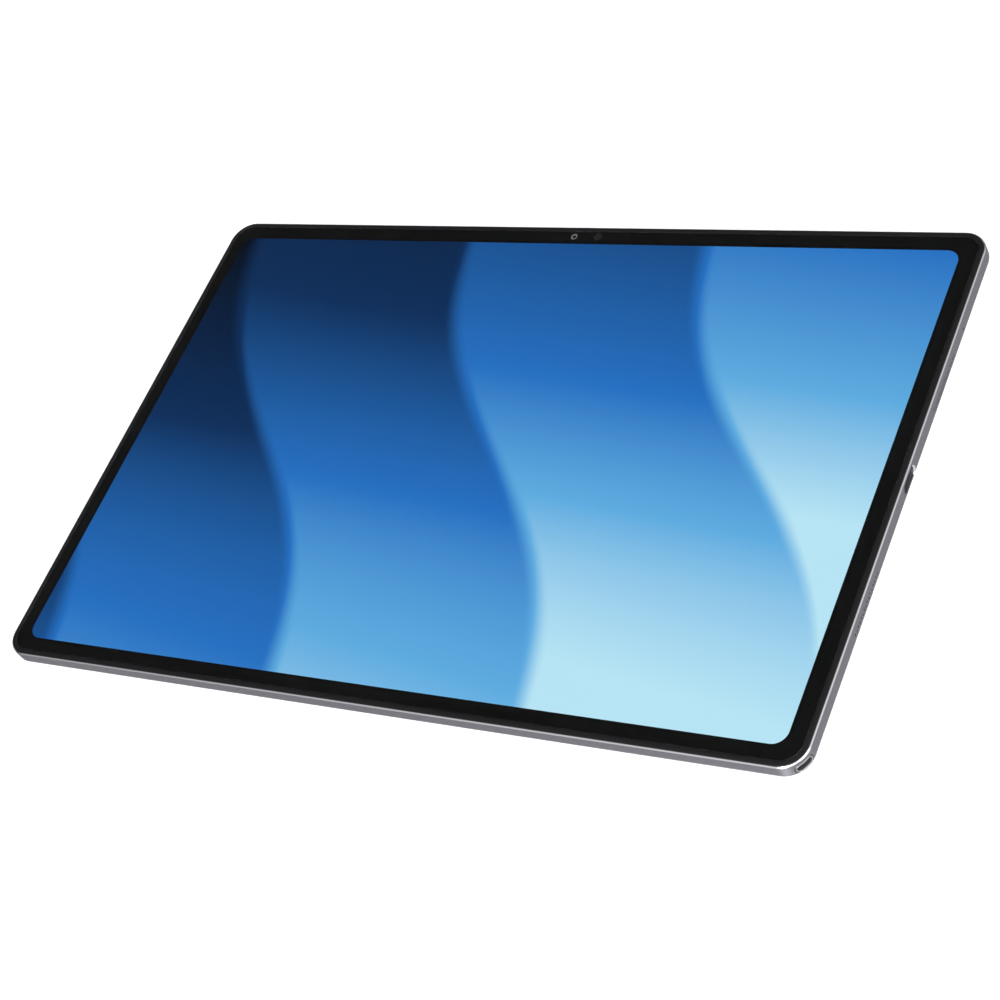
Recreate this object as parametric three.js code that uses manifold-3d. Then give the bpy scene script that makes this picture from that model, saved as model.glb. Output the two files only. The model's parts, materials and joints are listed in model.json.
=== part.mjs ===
// A 14-inch class tablet computer, lying on its back with the screen up.
// Millimetres. +X points to the short side with the charging socket, +Y to the long side with the
// front camera, +Z out of the screen. The origin is the middle of the back face.
import * as THREE from "three";
import { mergeVertices } from "three/addons/utils/BufferGeometryUtils.js";
import Module from "manifold-3d";

const wasm = await Module();
wasm.setup();

// ---- Driving dimensions ----
const HALF_LENGTH = 158.5;
const HALF_WIDTH = 102;
const CORNER_RADIUS = 9;
const CORNER_STEPS = 10;
const TOP = 6.5;

// The housing: one shell with a back, four sides and a ledge for the front.
const BACK_WALL = 0.9;
const SIDE_WALL = 2.5;
const BACK_ROUND = 1.9;
const BACK_ROUND_STEPS = 4;
const RIM_TOP = 6.2;
const RIM_CHAMFER = 0.45;
const RIM_WALL = 0.55;
const LEDGE_TOP = 5;

// The front: a plastic frame that holds the glass, and the display under the glass.
const FRAME_GAP = 0.1;
const FRAME_TOP = 6.28;
const FRAME_WIDTH = 1.5;
const FRAME_LIP = 1.5;
const GLASS_GAP = 0.1;
const GLASS_UNDER = 5.9;
const GLASS_INSET = RIM_WALL + FRAME_GAP + FRAME_WIDTH + GLASS_GAP;
const SCREEN_HALF_LENGTH = 150.75;
const SCREEN_HALF_WIDTH = 94.2;
const SCREEN_RADIUS = 5;
const CELL_TOP = 5.8;
const CELL_UNDER = 5.4;
const FILM_UNDER = 5.2;
const GUIDE_UNDER = 4.8;
const REFLECTOR_UNDER = 4.7;
const TRAY_UNDER = 4.55;
const TRAY_WALL = 0.25;
const TRAY_MARGIN = 1.8;
const LED_WIDTH = 0.8;

// The features of the sides, all centred at one height.
const PORT_HEIGHT = 2.85;
const SPEAKER_Y = 42;
const SPEAKER_HALF_LENGTH = 20;
const GRILLE_HOLES = 16;
const GRILLE_PITCH = 1.49;
const GRILLE_STAGGER = 0.22;
const GRILLE_RADIUS = 0.37;
const GRILLE_WALL = 1.3;
const MICROPHONE_Y = 64;
const MICROPHONE_RADIUS = 0.42;
const SOCKET_Y = 4;
const SOCKET_HALF_LENGTH = 4.4;
const SOCKET_HALF_HEIGHT = 1.5;
const SOCKET_MOUTH = 0.35;
const SOCKET_BEVEL = 0.4;

// The power key sits in the corner between the +X and -Y sides, nearer to the +X side.
const KEY_ANGLE = THREE.MathUtils.degToRad(-32.5);
const KEY_HALF_LENGTH = 3.4;
const KEY_HALF_HEIGHT = 1.7;
const KEY_BACK = 6.6;
const KEY_PROUD = 0.1;
const KEY_RING = 0.6;
const KEY_GAP = 0.14;

const VOLUME_X = -105;
const VOLUME_HALF_LENGTH = 12;
const VOLUME_HALF_HEIGHT = 1.3;
const VOLUME_LEG_X = 8;
const CARD_Y = -78;
const CARD_HALF_WIDTH = 6.55;
const CARD_HALF_HEIGHT = 0.7;
const CARD_DEPTH = 18.2;

// The inside.
const CELL_PACK_TOP = 4.3;
const TAPE = 0.1;
const BOARD_UNDER = 1.5;
const BOARD_TOP = 2.3;
const SHIELD_TOP = 3.9;
const CONNECTOR_TOP = 2.8;
const FLEX = 0.12;
const SCREW_HEAD_RADIUS = 1.25;
const SCREW_HEAD = 0.5;
const SCREW_SHAFT_RADIUS = 0.6;
const SCREW_FOOT = 0.6;
const BOSS_RADIUS = 1.9;
const BOSS_BORE_RADIUS = 0.75;
const BOARD_SCREWS = [[-104, 52], [-104, 86], [20, 50], [106, 86]];
const SOCKET_SCREWS = [[150, -10], [150, 17]];
const REAR_CAMERA = [139, 84];
const REAR_CAMERA_RADIUS = 5.2;
const REAR_FLASH = [126, 84];
const REAR_FLASH_RADIUS = 2.1;
const FRONT_CAMERA = [0, 97.4];
const LIGHT_SENSOR = [10, 97.4];

// ---- Solids ----

// A closed geometry as a solid that can be joined and cut.
function solid(geometry) {
  const bare = geometry.index ? geometry.toNonIndexed() : geometry.clone();
  bare.deleteAttribute("normal");
  bare.deleteAttribute("uv");
  const merged = mergeVertices(bare, 1e-4);
  const vertProperties = merged.attributes.position.array;
  const triVerts = new Uint32Array(merged.index.array);
  return new wasm.Manifold(new wasm.Mesh({ numProp: 3, vertProperties, triVerts }));
}

// A solid as a geometry for a mesh.
function surface(body) {
  const mesh = body.getMesh();
  const geometry = new THREE.BufferGeometry();
  geometry.setAttribute("position", new THREE.BufferAttribute(mesh.vertProperties, 3));
  geometry.setIndex(new THREE.BufferAttribute(mesh.triVerts, 1));
  geometry.computeVertexNormals();
  return geometry;
}

// The corners of a rectangle with round corners about the origin, counter-clockwise.
function outline(halfX, halfY, radius, steps = CORNER_STEPS) {
  const points = [];
  [[1, 1], [-1, 1], [-1, -1], [1, -1]].forEach(([sideX, sideY], quarter) => {
    for (let step = 0; step <= steps; step++) {
      const angle = ((quarter + step / steps) * Math.PI) / 2;
      const x = sideX * (halfX - radius) + radius * Math.cos(angle);
      const y = sideY * (halfY - radius) + radius * Math.sin(angle);
      points.push(new THREE.Vector2(x, y));
    }
  });
  return points.filter((point, i) => point.distanceTo(points.at(i - 1)) > 1e-4);
}

// A closed solid through outlines with the same number of points, from the lowest up.
function loft(levels) {
  const count = levels[0].points.length;
  const position = levels.flatMap(({ points, z }) => points.flatMap((p) => [p.x, p.y, z]));
  const index = [];
  for (let level = 0; level + 1 < levels.length; level++) {
    for (let i = 0; i < count; i++) {
      const a = level * count + i;
      const b = level * count + ((i + 1) % count);
      index.push(a, b, b + count, a, b + count, a + count);
    }
  }
  const last = (levels.length - 1) * count;
  for (const [a, b, c] of THREE.ShapeUtils.triangulateShape(levels[0].points, [])) {
    index.push(c, b, a, a + last, b + last, c + last);
  }
  const geometry = new THREE.BufferGeometry();
  geometry.setAttribute("position", new THREE.Float32BufferAttribute(position, 3));
  geometry.setIndex(index);
  geometry.computeVertexNormals();
  return geometry;
}

// A flat plate with round corners between two heights.
function plate(halfX, halfY, radius, low, high, steps = CORNER_STEPS) {
  const points = outline(halfX, halfY, radius, steps);
  return loft([{ points, z: low }, { points, z: high }]);
}

// The tablet's outline moved inwards by a distance, at one height.
function bodyLevel(inset, z) {
  return { points: outline(HALF_LENGTH - inset, HALF_WIDTH - inset, CORNER_RADIUS - inset), z };
}

// A flat plate that keeps one distance from the tablet's outline.
function bodyPlate(inset, low, high) {
  return loft([bodyLevel(inset, low), bodyLevel(inset, high)]);
}

// A box between two corners.
function block([x0, y0, z0], [x1, y1, z1]) {
  const box = new THREE.BoxGeometry(x1 - x0, y1 - y0, z1 - z0);
  return box.translate((x0 + x1) / 2, (y0 + y1) / 2, (z0 + z1) / 2);
}

// An upright rod between two heights.
function rod([x, y], radius, low, high, sides = 24) {
  const cylinder = new THREE.CylinderGeometry(radius, radius, high - low, sides);
  return cylinder.rotateX(Math.PI / 2).translate(x, y, (low + high) / 2);
}

// A thin strip that follows points of [y, z], with its width along X.
function ribbon(points, thickness, left, right) {
  const lower = points.map(([y, z]) => new THREE.Vector2(y, z));
  const upper = points.map(([y, z]) => new THREE.Vector2(y, z + thickness)).reverse();
  const shape = new THREE.Shape([...lower, ...upper]);
  const strip = new THREE.ExtrudeGeometry(shape, { depth: right - left, bevelEnabled: false });
  strip.applyMatrix4(edgeFrame([1, 0], [left, 0, 0]));
  return strip;
}

// The frame of a feature on a side: its x runs along the side, its y up and its z outwards.
function edgeFrame([outX, outY], [x, y, z]) {
  const along = new THREE.Vector3(-outY, outX, 0);
  const up = new THREE.Vector3(0, 0, 1);
  const out = new THREE.Vector3(outX, outY, 0);
  return new THREE.Matrix4().makeBasis(along, up, out).setPosition(x, y, z);
}

const RIGHT = [1, 0];
const LEFT = [-1, 0];
const FAR = [0, 1];
const CORNER = [Math.cos(KEY_ANGLE), Math.sin(KEY_ANGLE)];
const socketFrame = edgeFrame(RIGHT, [HALF_LENGTH, SOCKET_Y, PORT_HEIGHT]);
const microphoneFrame = edgeFrame(RIGHT, [HALF_LENGTH, MICROPHONE_Y, PORT_HEIGHT]);
const volumeFrame = edgeFrame(FAR, [VOLUME_X, HALF_WIDTH, PORT_HEIGHT]);
const cardFrame = edgeFrame(LEFT, [-HALF_LENGTH, CARD_Y, PORT_HEIGHT]);
// The power key's frame stands on the axis of the rounded corner.
const keyFrame = edgeFrame(CORNER, [
  HALF_LENGTH - CORNER_RADIUS,
  CORNER_RADIUS - HALF_WIDTH,
  PORT_HEIGHT,
]);

const tablet = new THREE.Group();
tablet.name = "tablet";

// Adds one sub-part, with its own material, to the tablet.
function add(name, geometry, color, roughness, metalness, frame) {
  const material = new THREE.MeshStandardMaterial({ color, roughness, metalness });
  const mesh = new THREE.Mesh(geometry, material);
  mesh.name = name;
  if (frame) mesh.applyMatrix4(frame);
  tablet.add(mesh);
}

const GREY_METAL = 0x8a8790;
const BRIGHT_METAL = 0xd6d6da;
const BLACK = 0x121212;
const DARK_PLASTIC = 0x2c2c2e;
const STEEL = 0xb4b6b8;
const BOARD_GREEN = 0x1d4a35;
const FLEX_AMBER = 0xb5762a;

// ---- Housing ----

function grilleCut(frame) {
  const cuts = [];
  for (let hole = 0; hole < GRILLE_HOLES; hole++) {
    const x = (hole - (GRILLE_HOLES - 1) / 2) * GRILLE_PITCH;
    const y = hole % 2 ? -GRILLE_STAGGER : GRILLE_STAGGER;
    cuts.push(rod([x, y], GRILLE_RADIUS, -GRILLE_WALL - 0.5, 1, 8));
  }
  cuts.push(plate(12.6, 1.15, 0.4, -SIDE_WALL - 0.5, -GRILLE_WALL, 2));
  return cuts.map((cut) => cut.applyMatrix4(frame));
}

function socketCut() {
  const halfX = SOCKET_HALF_LENGTH + SOCKET_MOUTH;
  const halfY = SOCKET_HALF_HEIGHT + SOCKET_MOUTH / 2;
  const narrow = outline(halfX, halfY, halfY, 5);
  const wide = outline(halfX + SOCKET_BEVEL, halfY + SOCKET_BEVEL, halfY + SOCKET_BEVEL, 5);
  const levels = [
    { points: narrow, z: -SIDE_WALL - 0.5 },
    { points: narrow, z: -SOCKET_BEVEL },
    { points: wide, z: 0 },
    { points: wide, z: 1 },
  ];
  return loft(levels).applyMatrix4(socketFrame);
}

function keyCut() {
  const halfX = KEY_HALF_LENGTH + KEY_GAP;
  const halfY = KEY_HALF_HEIGHT + KEY_GAP;
  return plate(halfX, halfY, halfY, 3.9, CORNER_RADIUS + 1, 6).applyMatrix4(keyFrame);
}

function volumeCut() {
  const halfX = VOLUME_HALF_LENGTH + KEY_GAP;
  const halfY = VOLUME_HALF_HEIGHT + KEY_GAP;
  return plate(halfX, halfY, halfY, -SIDE_WALL - 0.5, 1, 6).applyMatrix4(volumeFrame);
}

function cardCut() {
  const halfX = CARD_HALF_WIDTH + KEY_GAP;
  const halfY = CARD_HALF_HEIGHT + KEY_GAP;
  return plate(halfX, halfY, halfY, -SIDE_WALL - 0.5, 1, 5).applyMatrix4(cardFrame);
}

function housing() {
  const levels = [];
  for (let step = 0; step <= BACK_ROUND_STEPS; step++) {
    const angle = ((step / BACK_ROUND_STEPS) * Math.PI) / 2;
    const inset = BACK_ROUND * (1 - Math.sin(angle));
    levels.push(bodyLevel(inset, BACK_ROUND * (1 - Math.cos(angle))));
  }
  levels.push(bodyLevel(0, RIM_TOP - RIM_CHAMFER), bodyLevel(RIM_CHAMFER, RIM_TOP));
  let shell = solid(loft(levels));
  shell = shell.subtract(solid(bodyPlate(SIDE_WALL, BACK_WALL, TOP)));
  shell = shell.subtract(solid(bodyPlate(RIM_WALL, LEDGE_TOP, TOP)));
  for (const place of [...BOARD_SCREWS, ...SOCKET_SCREWS]) {
    shell = shell.add(solid(rod(place, BOSS_RADIUS, BACK_WALL - 0.2, BOARD_UNDER, 16)));
  }
  // Low ribs on both sides of the battery.
  for (const side of [-1, 1]) {
    const rib = block([side * 116.5 - 0.5, -84, BACK_WALL - 0.2], [side * 116.5 + 0.5, 24, 2.4]);
    shell = shell.add(solid(rib));
  }
  const cuts = [
    socketCut(),
    keyCut(),
    volumeCut(),
    cardCut(),
    rod([0, 0], MICROPHONE_RADIUS, -SIDE_WALL - 0.5, 1, 12).applyMatrix4(microphoneFrame),
    rod(REAR_CAMERA, REAR_CAMERA_RADIUS, -1, BACK_WALL + 0.5, 32),
    rod(REAR_FLASH, REAR_FLASH_RADIUS, -1, BACK_WALL + 0.5, 20),
  ];
  for (const out of [RIGHT, LEFT]) {
    for (const side of [-1, 1]) {
      const frame = edgeFrame(out, [out[0] * HALF_LENGTH, side * SPEAKER_Y, PORT_HEIGHT]);
      cuts.push(...grilleCut(frame));
    }
  }
  for (const place of [...BOARD_SCREWS, ...SOCKET_SCREWS]) {
    cuts.push(rod(place, BOSS_BORE_RADIUS, SCREW_FOOT - 0.1, BOARD_UNDER + 0.5, 12));
  }
  for (const cut of cuts) shell = shell.subtract(solid(cut));
  add("housing", surface(shell), GREY_METAL, 0.38, 0.9);
}

// ---- Front ----

function bezelFrame() {
  const outer = RIM_WALL + FRAME_GAP;
  const inner = outer + FRAME_WIDTH;
  const levels = [
    bodyLevel(outer, LEDGE_TOP),
    bodyLevel(outer, FRAME_TOP - 0.15),
    bodyLevel(outer + 0.2, FRAME_TOP),
  ];
  let ring = solid(loft(levels));
  ring = ring.subtract(solid(bodyPlate(inner, GLASS_UNDER, TOP)));
  ring = ring.subtract(solid(bodyPlate(inner + FRAME_LIP, 0, TOP)));
  // The lip is cut away where the front camera and the light sensor stand.
  const [left, right] = [FRONT_CAMERA[0] - 4.2, LIGHT_SENSOR[0] + 3.2];
  const notch = block([left, 90, 0], [right, HALF_WIDTH - inner - 0.2, TOP]);
  ring = ring.subtract(solid(notch));
  add("bezel_frame", surface(ring), DARK_PLASTIC, 0.45, 0);
}

function coverGlass() {
  const levels = [
    bodyLevel(GLASS_INSET, GLASS_UNDER),
    bodyLevel(GLASS_INSET, TOP - 0.22),
    bodyLevel(GLASS_INSET + 0.12, TOP - 0.07),
    bodyLevel(GLASS_INSET + 0.4, TOP),
  ];
  add("cover_glass", loft(levels), BLACK, 0.05, 0);
}

function display() {
  const cellX = SCREEN_HALF_LENGTH + 1.15;
  const cellY = SCREEN_HALF_WIDTH + 1.15;
  const trayX = SCREEN_HALF_LENGTH + TRAY_MARGIN;
  const trayY = SCREEN_HALF_WIDTH + TRAY_MARGIN;
  const innerX = trayX - TRAY_WALL - 0.15;
  const innerY = trayY - TRAY_WALL - 0.15;
  const glue = plate(cellX, cellY, SCREEN_RADIUS, CELL_TOP, GLASS_UNDER, 4);
  add("optical_adhesive", glue, 0xdfe6ea, 0.2, 0);
  add("lcd_cell", plate(cellX, cellY, SCREEN_RADIUS, CELL_UNDER, CELL_TOP, 4), 0x2a6cc4, 0.25, 0);
  const film = plate(innerX, innerY, 2.05, FILM_UNDER, CELL_UNDER, 3);
  add("optical_films", film, 0xf1f4f5, 0.5, 0);
  const ledSpace = (LED_WIDTH + 0.2) / 2;
  const guide = plate(innerX, innerY - ledSpace, 2.05, GUIDE_UNDER, FILM_UNDER, 3);
  add("light_guide_plate", guide.translate(0, ledSpace, 0), 0xe8f2f4, 0.15, 0);
  const leds = block([-innerX + 6, -innerY, GUIDE_UNDER], [innerX - 6, LED_WIDTH - innerY, FILM_UNDER]);
  add("led_strip", leds, 0xf0d66a, 0.5, 0);
  const mirror = plate(innerX, innerY, 2.05, REFLECTOR_UNDER, GUIDE_UNDER, 3);
  add("reflector_sheet", mirror, 0xf6f6f4, 0.3, 0.1);
  const tray = solid(plate(trayX, trayY, 2.5, TRAY_UNDER, CELL_UNDER - 0.05, 3));
  const hollow = solid(plate(trayX - TRAY_WALL, trayY - TRAY_WALL, 2.2, REFLECTOR_UNDER, TOP, 3));
  add("backlight_tray", surface(tray.subtract(hollow)), STEEL, 0.35, 0.9);
}

function displayElectronics() {
  const board = block([-90, -96, 3.75], [90, -88, TRAY_UNDER]);
  add("display_driver_board", board, BOARD_GREEN, 0.45, 0);
  const route = [[-87.8, 4], [-84, CELL_PACK_TOP + 0.05], [28, CELL_PACK_TOP + 0.05]];
  route.push([38, 3.2], [46, CONNECTOR_TOP], [54, CONNECTOR_TOP]);
  add("display_cable", ribbon(route, FLEX, 60, 74), FLEX_AMBER, 0.4, 0);
}

// ---- Battery and boards ----

function battery() {
  for (const [name, side] of [["left", -1], ["right", 1]]) {
    const place = new THREE.Matrix4().makeTranslation(side * 58.5, -30, 0);
    const cell = plate(55.5, 50, 2.5, BACK_WALL + TAPE, CELL_PACK_TOP, 4);
    add(`battery_cell_${name}`, cell, 0x3b3d40, 0.5, 0.1, place);
    const tape = block([-40, -44, BACK_WALL], [40, 44, BACK_WALL + TAPE]);
    add(`battery_tape_${name}`, tape, 0xe9e9e4, 0.6, 0, place);
  }
  const guard = block([-70, 21.5, BACK_WALL], [70, 27.5, 1.9]);
  add("battery_protection_board", guard, BOARD_GREEN, 0.45, 0);
  const route = [[27.7, 1.6], [31, 1.6], [38, CONNECTOR_TOP], [54, CONNECTOR_TOP]];
  add("battery_cable", ribbon(route, FLEX, -26, -12), FLEX_AMBER, 0.4, 0);
}

function mainBoard() {
  let board = solid(block([-110, 46, BOARD_UNDER], [112, 91, BOARD_TOP]));
  // The notch near the rear flash, and the places of the plug-in connectors.
  board = board.subtract(solid(block([60, 46, 0], [94, 48, TOP])));
  for (const [x, y] of [[-19, 51], [67, 51], [108, 54]]) {
    board = board.add(solid(block([x - 5, y - 1.5, BOARD_TOP - 0.1], [x + 5, y + 1.5, CONNECTOR_TOP])));
  }
  for (const place of BOARD_SCREWS) {
    board = board.subtract(solid(rod(place, SCREW_SHAFT_RADIUS + 0.2, 0, TOP, 12)));
  }
  add("main_board", surface(board), BOARD_GREEN, 0.45, 0);
}

function shields() {
  const cans = [
    ["processor_shield", -48, 72, 21, 15],
    ["radio_shield", -86, 70, 12, 14],
    ["power_shield", 6, 73, 17, 14],
    ["memory_shield", 52, 73, 20, 14],
  ];
  for (const [name, x, y, halfX, halfY] of cans) {
    const place = new THREE.Matrix4().makeTranslation(x, y, 0);
    add(name, plate(halfX, halfY, 0.8, BOARD_TOP, SHIELD_TOP, 2), STEEL, 0.35, 0.9, place);
  }
  const sheet = block([-68, 58, SHIELD_TOP], [70, 86, SHIELD_TOP + 0.15]);
  add("heat_spreader", sheet, 0x35363a, 0.4, 0.5);
}

function antennas() {
  for (const [name, x] of [["left", -50], ["right", 62]]) {
    const carrier = block([x - 22, 93.2, 1.2], [x + 22, 97.6, 3.8]);
    add(`antenna_${name}`, carrier, 0xc9a35c, 0.45, 0.3);
  }
}

function screw(name, place) {
  const shaft = solid(rod(place, SCREW_SHAFT_RADIUS, SCREW_FOOT, BOARD_TOP + 0.1, 12));
  let body = shaft.add(solid(rod(place, SCREW_HEAD_RADIUS, BOARD_TOP, BOARD_TOP + SCREW_HEAD, 20)));
  const [x, y] = place;
  const top = BOARD_TOP + SCREW_HEAD;
  body = body.subtract(solid(block([x - 0.8, y - 0.15, top - 0.25], [x + 0.8, y + 0.15, top + 1])));
  body = body.subtract(solid(block([x - 0.15, y - 0.8, top - 0.25], [x + 0.15, y + 0.8, top + 1])));
  add(name, surface(body), STEEL, 0.3, 0.95);
}

function screws() {
  BOARD_SCREWS.forEach((place, i) => screw(`main_board_screw_${i + 1}`, place));
  SOCKET_SCREWS.forEach((place, i) => screw(`usb_board_screw_${i + 1}`, place));
}

// ---- Charging socket ----

function chargingSocket() {
  const [x0, x1] = [133, 155.4];
  let board = solid(block([x0, -14, BOARD_UNDER], [x1, 21, BOARD_TOP]));
  const clear = SOCKET_HALF_LENGTH + 0.3;
  board = board.subtract(solid(block([149, SOCKET_Y - clear, 0], [160, SOCKET_Y + clear, TOP])));
  board = board.add(solid(block([134.5, 9, BOARD_TOP - 0.1], [138.5, 15, CONNECTOR_TOP])));
  for (const place of SOCKET_SCREWS) {
    board = board.subtract(solid(rod(place, SCREW_SHAFT_RADIUS + 0.2, 0, TOP, 12)));
  }
  add("usb_board", surface(board), BOARD_GREEN, 0.45, 0);

  const wall = 0.25;
  const back = -8.8;
  const front = -1;
  const outer = plate(SOCKET_HALF_LENGTH, SOCKET_HALF_HEIGHT, SOCKET_HALF_HEIGHT, back, front, 6);
  const innerX = SOCKET_HALF_LENGTH - wall;
  const innerY = SOCKET_HALF_HEIGHT - wall;
  const inner = plate(innerX, innerY, innerY, back + wall, 1, 6);
  const shell = solid(outer).subtract(solid(inner));
  add("usb_c_shell", surface(shell), STEEL, 0.25, 0.95, socketFrame);

  const rear = back + wall + 0.05;
  const heel = solid(plate(innerX - 0.1, innerY - 0.1, innerY - 0.1, rear, rear + 1.3, 5));
  const tongue = heel.add(solid(plate(3.35, 0.35, 0.3, rear + 1, front - 0.5, 3)));
  add("usb_c_tongue", surface(tongue), BLACK, 0.4, 0, socketFrame);

  const route = [[140, 8], [140, 16], [128, 16], [128, 58], [103, 58], [103, 50], [120, 50], [120, 8]];
  const shape = new THREE.Shape(route.map(([x, y]) => new THREE.Vector2(x, y)));
  const cable = new THREE.ExtrudeGeometry(shape, { depth: FLEX, bevelEnabled: false });
  add("usb_cable", cable.translate(0, 0, CONNECTOR_TOP), FLEX_AMBER, 0.4, 0);
}

// ---- Sound ----

function speakers() {
  for (const [sideName, out] of [["right", RIGHT], ["left", LEFT]]) {
    for (const [levelName, side] of [["far", 1], ["near", -1]]) {
      const frame = edgeFrame(out, [out[0] * HALF_LENGTH, side * SPEAKER_Y, PORT_HEIGHT]);
      const body = solid(plate(SPEAKER_HALF_LENGTH, 1.45, 0.5, -21.5, -SIDE_WALL - 0.7, 2));
      const spout = solid(plate(11.8, 0.9, 0.3, -SIDE_WALL - 0.9, -GRILLE_WALL - 0.4, 2));
      const name = `speaker_${sideName}_${levelName}`;
      add(name, surface(body.add(spout)), 0x1d1e20, 0.55, 0, frame);
      const mesh = plate(12.3, 1, 0.3, -GRILLE_WALL - 0.25, -GRILLE_WALL - 0.05, 2);
      add(`speaker_mesh_${sideName}_${levelName}`, mesh, 0x17181a, 0.7, 0.3, frame);
    }
  }
  const microphone = plate(1.6, 1.2, 0.2, -SIDE_WALL - 1.6, -SIDE_WALL - 0.1, 2);
  add("microphone", microphone, STEEL, 0.3, 0.9, microphoneFrame);
}

// ---- Cameras ----

function cameras() {
  const [frontX, frontY] = FRONT_CAMERA;
  const front = solid(block([frontX - 3.2, frontY - 1.3, 1.8], [frontX + 3.2, frontY + 1.6, 5.3]));
  const barrel = solid(rod(FRONT_CAMERA, 1.25, 5.2, GLASS_UNDER - 0.05, 24));
  add("front_camera", surface(front.add(barrel)), 0x101114, 0.3, 0.2);

  const [sensorX, sensorY] = LIGHT_SENSOR;
  const sensor = block([sensorX - 1.6, sensorY - 1.2, 4.9], [sensorX + 1.6, sensorY + 1.2, 5.8]);
  add("light_sensor", sensor, 0x241f2b, 0.3, 0);

  const ring = solid(rod(REAR_CAMERA, REAR_CAMERA_RADIUS - 0.1, 0.02, BACK_WALL, 32));
  const bore = solid(rod(REAR_CAMERA, 3.9, -1, TOP, 32));
  add("rear_camera_ring", surface(ring.subtract(bore)), BRIGHT_METAL, 0.25, 0.95);
  add("rear_camera_window", rod(REAR_CAMERA, 3.8, 0.05, 0.75, 32), BLACK, 0.05, 0);
  const [rearX, rearY] = REAR_CAMERA;
  const rear = solid(block([rearX - 4.8, rearY - 4.8, 1.2], [rearX + 4.8, rearY + 4.8, 4.2]));
  const neck = solid(rod(REAR_CAMERA, 3.2, 0.8, 1.3, 24));
  add("rear_camera", surface(rear.add(neck)), 0x14161a, 0.35, 0.2);
  add("rear_flash", rod(REAR_FLASH, REAR_FLASH_RADIUS - 0.1, 0.05, BACK_WALL, 20), 0xf4efdc, 0.2, 0);
}

// ---- Keys and card tray ----

// A column about the power key's corner axis, which the key's face follows.
function corner(radius) {
  return solid(new THREE.CylinderGeometry(radius, radius, 8, 96));
}

function powerKey() {
  const faceRadius = CORNER_RADIUS + KEY_PROUD;
  const bar = plate(KEY_HALF_LENGTH, KEY_HALF_HEIGHT, KEY_HALF_HEIGHT, KEY_BACK, CORNER_RADIUS + 1, 6);
  const windowX = KEY_HALF_LENGTH - KEY_RING;
  const windowY = KEY_HALF_HEIGHT - KEY_RING;
  const recess = solid(plate(windowX, windowY, windowY, 3, CORNER_RADIUS + 2, 6));
  let key = solid(bar).intersect(corner(faceRadius));
  key = key.subtract(recess.subtract(corner(faceRadius - 0.45)));
  key = key.add(solid(plate(1.6, 1, 0.3, KEY_BACK - 0.5, KEY_BACK + 0.2, 2)));
  add("power_key", surface(key), BRIGHT_METAL, 0.2, 0.95, keyFrame);

  const gap = 0.06;
  let pane = solid(plate(windowX - gap, windowY - gap, windowY - gap, 3, CORNER_RADIUS + 2, 6));
  pane = pane.intersect(corner(faceRadius - 0.08)).subtract(corner(faceRadius - 0.4));
  add("power_key_window", surface(pane), BLACK, 0.08, 0, keyFrame);

  const dome = solid(rod([0, 0], 1.1, 5.4, KEY_BACK - 0.85, 16));
  const pad = solid(plate(2.6, 1.1, 0.3, 5.1, 5.5, 2));
  add("power_key_switch", surface(pad.add(dome)), STEEL, 0.35, 0.8, keyFrame);
  const clip = solid(plate(3, 1.35, 0.3, 4.5, 5, 2));
  const foot = solid(block([-3, -1.85, 2.6], [3, -1.35 + 0.2, 5]));
  add("power_key_bracket", surface(clip.add(foot)), STEEL, 0.35, 0.9, keyFrame);
}

function volumeKey() {
  const step = (inset, z) => {
    const halfY = VOLUME_HALF_HEIGHT - inset;
    return { points: outline(VOLUME_HALF_LENGTH - inset, halfY, halfY, 6), z };
  };
  let key = solid(loft([step(0, -1.8), step(0, 0.05), step(0.2, 0.25)]));
  for (const side of [-1, 1]) {
    const x = side * VOLUME_LEG_X;
    key = key.add(solid(block([x - 0.8, -0.7, -2.9], [x + 0.8, 0.7, -1.6])));
  }
  add("volume_key", surface(key), GREY_METAL, 0.38, 0.9, volumeFrame);

  let strip = solid(plate(12.5, 1.2, 0.3, -4.1, -3.6, 2));
  for (const side of [-1, 1]) {
    strip = strip.add(solid(rod([side * VOLUME_LEG_X, 0], 1.1, -3.8, -3.15, 16)));
  }
  add("volume_key_switch", surface(strip), STEEL, 0.4, 0.6, volumeFrame);
  const clip = solid(plate(14, 1.35, 0.3, -4.6, -4.2, 2));
  const foot = solid(block([-14, -1.85, -7], [14, -1.2, -4.2]));
  add("volume_key_bracket", surface(clip.add(foot)), STEEL, 0.35, 0.9, volumeFrame);
}

function cardTray() {
  const face = solid(plate(CARD_HALF_WIDTH, CARD_HALF_HEIGHT, CARD_HALF_HEIGHT, -1.2, 0, 5));
  let tray = face.add(solid(plate(6.2, 0.5, 0.3, -CARD_DEPTH, -1, 2)));
  tray = tray.subtract(solid(block([-5.5, -1, 1.4 - CARD_DEPTH], [5.5, 1, -1.9])));
  tray = tray.subtract(solid(rod([4.6, 0], 0.4, -1.1, 1, 12)));
  add("card_tray", surface(tray), GREY_METAL, 0.4, 0.85, cardFrame);

  let cage = solid(plate(7.4, 1.25, 0.2, -CARD_DEPTH - 0.8, -SIDE_WALL - 0.3, 1));
  cage = cage.subtract(solid(block([-6.5, -0.8, -CARD_DEPTH - 0.4], [6.5, 0.8, 0])));
  add("card_socket", surface(cage), STEEL, 0.35, 0.9, cardFrame);
}

housing();
bezelFrame();
coverGlass();
display();
displayElectronics();
battery();
mainBoard();
shields();
antennas();
screws();
chargingSocket();
speakers();
cameras();
powerKey();
volumeKey();
cardTray();

export default tablet;
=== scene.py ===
# %% [markdown]
# # A tablet computer, from its CAD frame to a finished look
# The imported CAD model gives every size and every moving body. This lesson loads it, puts finer pieces
# over the parts that show, and gives each surface a finish made of nodes. Blender measures in metres.

# %% Load the frame
import json
import math

import bmesh
import bpy
from mathutils import Matrix, Vector


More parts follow.
